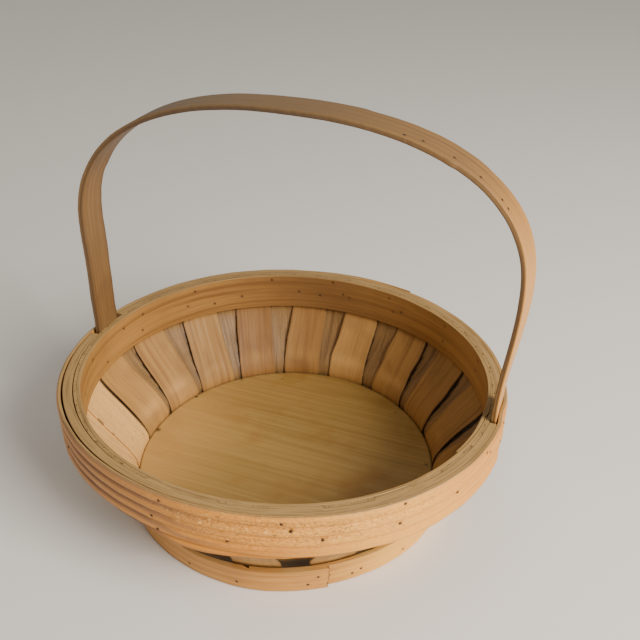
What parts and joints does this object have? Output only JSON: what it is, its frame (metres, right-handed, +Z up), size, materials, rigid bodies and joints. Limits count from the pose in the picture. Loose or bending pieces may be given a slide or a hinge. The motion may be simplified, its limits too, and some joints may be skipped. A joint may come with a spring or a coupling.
{
  "type": "wooden basket",
  "caption": "Round splint basket: flared wall of thin staves on a round floor board, lapped hoops at foot and rim, and a tall bent strap handle.",
  "frame": {"origin": "middle of the basket's foot, on the surface it stands on", "axes": "+Z up the basket's axis, X along the handle's span and the rim's longer axis, Y across it; the handle stands 4 mm to +Y of the middle and bulges more at +X"},
  "size_m": [0.3172, 0.2884, 0.2818],
  "materials": {
    "stave_wood": "bare, matt",
    "strip_wood": "bare, matt",
    "filler_wood": "bare, matt",
    "board_wood": "bare, matt",
    "handle_wood": "bare, matt",
    "foot_wood": "bare, matt",
    "inner_rim_wood": "bare, matt",
    "outer_rim_wood": "bare, matt",
    "nail_iron": "dull, slightly rusted"
  },
  "bodies": {
    "root": {"cover_strip_01": "strip_wood", "cover_strip_02": "strip_wood", "cover_strip_03": "strip_wood", "cover_strip_04": "strip_wood", "cover_strip_05": "strip_wood", "cover_strip_06": "strip_wood", "cover_strip_07": "strip_wood", "cover_strip_08": "strip_wood", "cover_strip_09": "strip_wood", "cover_strip_10": "strip_wood", "cover_strip_11": "strip_wood", "cover_strip_12": "strip_wood", "cover_strip_13": "strip_wood", "cover_strip_14": "strip_wood", "cover_strip_15": "strip_wood", "floor_board": "board_wood", "foot_hoop": "foot_wood", "foot_nail_1": "nail_iron", "foot_nail_2": "nail_iron", "foot_nail_3": "nail_iron", "foot_nail_4": "nail_iron", "foot_nail_5": "nail_iron", "foot_nail_6": "nail_iron", "foot_nail_7": "nail_iron", "foot_nail_8": "nail_iron", "foot_nail_9": "nail_iron", "handle": "handle_wood", "handle_nail_left_1": "nail_iron", "handle_nail_left_2": "nail_iron", "handle_nail_right_1": "nail_iron", "handle_nail_right_2": "nail_iron", "inner_rim_hoop": "inner_rim_wood", "outer_rim_hoop": "outer_rim_wood", "rim_filler_back": "filler_wood", "rim_filler_front": "filler_wood", "rim_nail_1": "nail_iron", "rim_nail_2": "nail_iron", "rim_nail_3": "nail_iron", "rim_nail_4": "nail_iron", "rim_nail_5": "nail_iron", "rim_nail_6": "nail_iron", "stave_01": "stave_wood", "stave_02": "stave_wood", "stave_03": "stave_wood", "stave_04": "stave_wood", "stave_05": "stave_wood", "stave_06": "stave_wood", "stave_07": "stave_wood", "stave_08": "stave_wood", "stave_09": "stave_wood", "stave_10": "stave_wood", "stave_11": "stave_wood", "stave_12": "stave_wood", "stave_13": "stave_wood", "stave_14": "stave_wood", "stave_15": "stave_wood", "stave_16": "stave_wood", "stave_17": "stave_wood", "stave_18": "stave_wood"}
  },
  "joints": []
}
